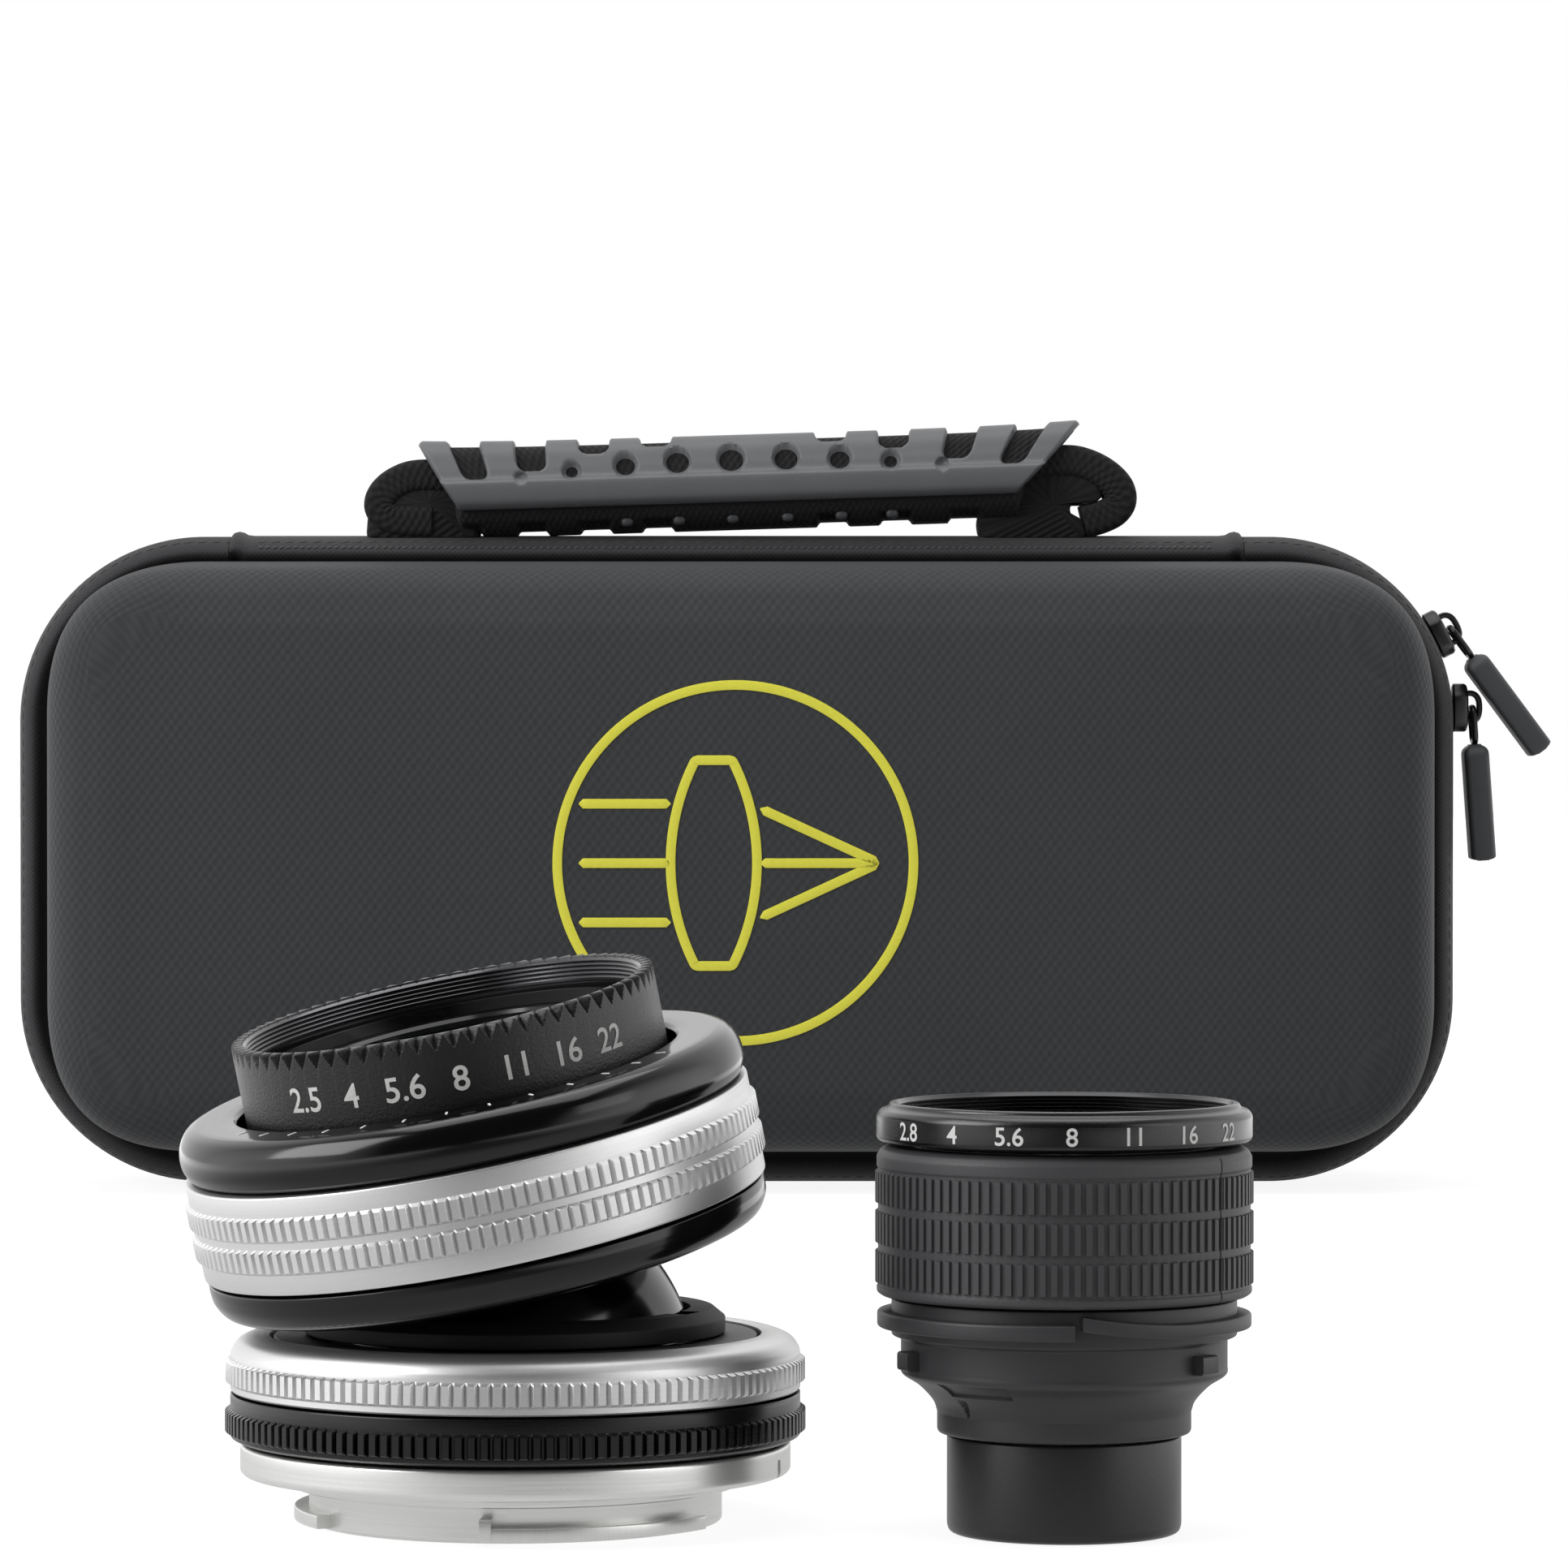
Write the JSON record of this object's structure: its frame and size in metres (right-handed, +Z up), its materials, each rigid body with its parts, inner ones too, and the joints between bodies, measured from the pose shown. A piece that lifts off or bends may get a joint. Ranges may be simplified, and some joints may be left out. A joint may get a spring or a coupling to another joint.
{
  "type": "camera tilt lens set with case",
  "caption": "Ball-jointed tilting camera lens with a fitted drop-in optic, a loose swap-in optic and a zipped moulded carrying case with a rubber grip handle.",
  "frame": {"origin": "middle of the whole set's footprint, on the floor", "axes": "+Z up, +Y from the lens towards the case behind it, +X to the right of a viewer facing the lid"},
  "size_m": [0.2908, 0.6094, 0.1466],
  "materials": {
    "twill": "matte",
    "foam": "matte",
    "tape": "matte",
    "coil": "satin",
    "webbing": "matte",
    "grip": "matte",
    "zip_metal": "satin",
    "chrome": "polished",
    "silver": "satin",
    "black": "satin",
    "gloss": "gloss",
    "matte": "matte",
    "blade": "matte",
    "grain": "matte",
    "graphite": "satin",
    "rib_rubber": "matte",
    "nylon": "satin",
    "glass": "polished"
  },
  "bodies": {
    "case_rear": {"rear_shell": "twill", "rear_foam": "foam", "rear_zip_tape": "tape", "zip_teeth_rear": "coil"},
    "case_spine": {"spine_strip": "tape", "strap_loop_left": "webbing", "strap_loop_right": "webbing"},
    "case_lid": {"lid_shell": "twill", "lid_foam": "foam", "lid_zip_tape": "tape", "zip_teeth_lid": "coil"},
    "case_handle": {"handle_core": "webbing", "handle_grip": "grip"},
    "slider_upper": {"zip_slider_upper": "zip_metal"},
    "slider_lower": {"zip_slider_lower": "zip_metal"},
    "puller_upper": {"puller_link_upper": "zip_metal", "puller_tab_upper": "grip"},
    "puller_lower": {"puller_link_lower": "zip_metal", "puller_tab_lower": "grip"},
    "lens_base": {"mount_bayonet": "chrome", "mount_collar": "black", "socket_housing": "matte", "retaining_ring": "black"},
    "lens_lock": {"lock_ring": "silver"},
    "lens_seat": {"socket_liner": "nylon"},
    "lens_head": {"swivel_ball": "gloss", "head_base": "gloss"},
    "lens_focus": {"focus_ring": "silver"},
    "lens_carriage": {"front_plate": "gloss", "optic_cup": "matte"},
    "lens_optic": {"optic_barrel": "black", "front_element": "glass", "rear_element": "glass", "front_retainer": "matte"},
    "lens_aperture": {"aperture_ring": "grain"},
    "iris_1": {"iris_blade_1": "blade"},
    "iris_2": {"iris_blade_2": "blade"},
    "iris_3": {"iris_blade_3": "blade"},
    "iris_4": {"iris_blade_4": "blade"},
    "iris_5": {"iris_blade_5": "blade"},
    "iris_6": {"iris_blade_6": "blade"},
    "optic_base": {"rear_barrel": "graphite", "bayonet_body": "graphite", "loose_rear_element": "glass"},
    "optic_slide": {"inner_tube": "black", "grip_sleeve": "rib_rubber", "loose_front_element": "glass", "loose_retainer": "matte"},
    "optic_ring": {"loose_front_ring": "graphite"}
  },
  "joints": [
    {"name": "spine_fold", "type": "hinge", "parent": "case_rear", "child": "case_spine", "pos_m": [-0.00847, 0.27872, 0.1187], "axis": [-1, 0, 0], "range_deg": [0, 90]},
    {"name": "lid_open", "type": "hinge", "parent": "case_spine", "child": "case_lid", "pos_m": [-0.00847, 0.25472, 0.1187], "axis": [-1, 0, 0], "range_deg": [0, 90]},
    {"name": "handle_lift", "type": "slide", "parent": "case_spine", "child": "case_handle", "axis": [0, 0, 1], "range_m": [0, 0.008], "deforming": ["strap_loop_left", "strap_loop_right"]},
    {"name": "upper_slider_travel", "type": "hinge", "parent": "case_rear", "child": "slider_upper", "pos_m": [0.09293, 0.26672, 0.0882], "axis": [0, -1, 0], "range_deg": [0, 45]},
    {"name": "lower_slider_travel", "type": "slide", "parent": "case_rear", "child": "slider_lower", "axis": [0, 0, -1], "range_m": [0, 0.05]},
    {"name": "upper_puller_swing", "type": "hinge", "parent": "slider_upper", "child": "puller_upper", "pos_m": [0.12768, 0.26672, 0.10591], "axis": [0, -1, 0], "range_deg": [-2, 60]},
    {"name": "lower_puller_swing", "type": "hinge", "parent": "slider_lower", "child": "puller_lower", "pos_m": [0.13193, 0.26672, 0.0907], "axis": [0, -1, 0], "range_deg": [-2, 30]},
    {"name": "lens_lift", "type": "slide", "parent": "case_rear", "child": "lens_base", "axis": [0, 0, 1], "range_m": [0, 0.12]},
    {"name": "lock_turn", "type": "hinge", "parent": "lens_base", "child": "lens_lock", "pos_m": [-0.02992, -0.26928, 0.018], "axis": [0, 0, 1], "range_deg": [0, 60]},
    {"name": "head_swivel", "type": "hinge", "parent": "lens_base", "child": "lens_seat", "pos_m": [-0.02992, -0.26928, 0.0168], "axis": [0, 0, 1], "continuous": true},
    {"name": "head_tilt", "type": "hinge", "parent": "lens_seat", "child": "lens_head", "pos_m": [-0.02992, -0.26928, 0.0168], "axis": [0.4756, -0.8796, 0], "range_deg": [-27.4, 2.5]},
    {"name": "focus_turn", "type": "hinge", "parent": "lens_head", "child": "lens_focus", "pos_m": [-0.03429, -0.27164, 0.03926], "axis": [-0.1898, -0.1026, 0.9764], "range_deg": [0, 180]},
    {"name": "focus_travel", "type": "slide", "parent": "lens_head", "child": "lens_carriage", "axis": [-0.1898, -0.1026, 0.9764], "range_m": [0, 0.008]},
    {"name": "optic_twist", "type": "hinge", "parent": "lens_carriage", "child": "lens_optic", "pos_m": [-0.03485, -0.27195, 0.04219], "axis": [-0.1898, -0.1026, 0.9764], "range_deg": [-59, 0]},
    {"name": "aperture_turn", "type": "hinge", "parent": "lens_optic", "child": "lens_aperture", "pos_m": [-0.03675, -0.27298, 0.05195], "axis": [-0.1898, -0.1026, 0.9764], "range_deg": [0, 84]},
    {"name": "iris_1", "type": "hinge", "parent": "lens_optic", "child": "iris_1", "pos_m": [-0.01965, -0.27152, 0.03945], "axis": [-0.1898, -0.1026, 0.9764], "range_deg": [0, 28.2]},
    {"name": "iris_2", "type": "hinge", "parent": "lens_optic", "child": "iris_2", "pos_m": [-0.02696, -0.2591, 0.03997], "axis": [-0.1898, -0.1026, 0.9764], "range_deg": [0, 28.2]},
    {"name": "iris_3", "type": "hinge", "parent": "lens_optic", "child": "iris_3", "pos_m": [-0.04122, -0.25903, 0.03784], "axis": [-0.1898, -0.1026, 0.9764], "range_deg": [0, 28.2]},
    {"name": "iris_4", "type": "hinge", "parent": "lens_optic", "child": "iris_4", "pos_m": [-0.04828, -0.27142, 0.0358], "axis": [-0.1898, -0.1026, 0.9764], "range_deg": [0, 28.2]},
    {"name": "iris_5", "type": "hinge", "parent": "lens_optic", "child": "iris_5", "pos_m": [-0.04121, -0.28396, 0.03649], "axis": [-0.1898, -0.1026, 0.9764], "range_deg": [0, 28.2]},
    {"name": "iris_6", "type": "hinge", "parent": "lens_optic", "child": "iris_6", "pos_m": [-0.02719, -0.28417, 0.03983], "axis": [-0.1898, -0.1026, 0.9764], "range_deg": [0, 28.2]},
    {"name": "optic_lift", "type": "slide", "parent": "case_rear", "child": "optic_base", "axis": [0, 0, 1], "range_m": [0, 0.12]},
    {"name": "macro_slide", "type": "slide", "parent": "optic_base", "child": "optic_slide", "axis": [0, 0, 1], "range_m": [0, 0.012]},
    {"name": "loose_aperture_turn", "type": "hinge", "parent": "optic_slide", "child": "optic_ring", "pos_m": [0.03183, -0.28128, 0.046], "axis": [0, 0, 1], "range_deg": [0, 84]}
  ],
  "couplings": [
    {"joint": "focus_travel", "follows": "focus_turn", "m_per_rad": 0.002546},
    {"joint": "iris_1", "follows": "aperture_turn", "ratio": 0.3333},
    {"joint": "iris_2", "follows": "aperture_turn", "ratio": 0.3333},
    {"joint": "iris_3", "follows": "aperture_turn", "ratio": 0.3333},
    {"joint": "iris_4", "follows": "aperture_turn", "ratio": 0.3333},
    {"joint": "iris_5", "follows": "aperture_turn", "ratio": 0.3333},
    {"joint": "iris_6", "follows": "aperture_turn", "ratio": 0.3333}
  ]
}
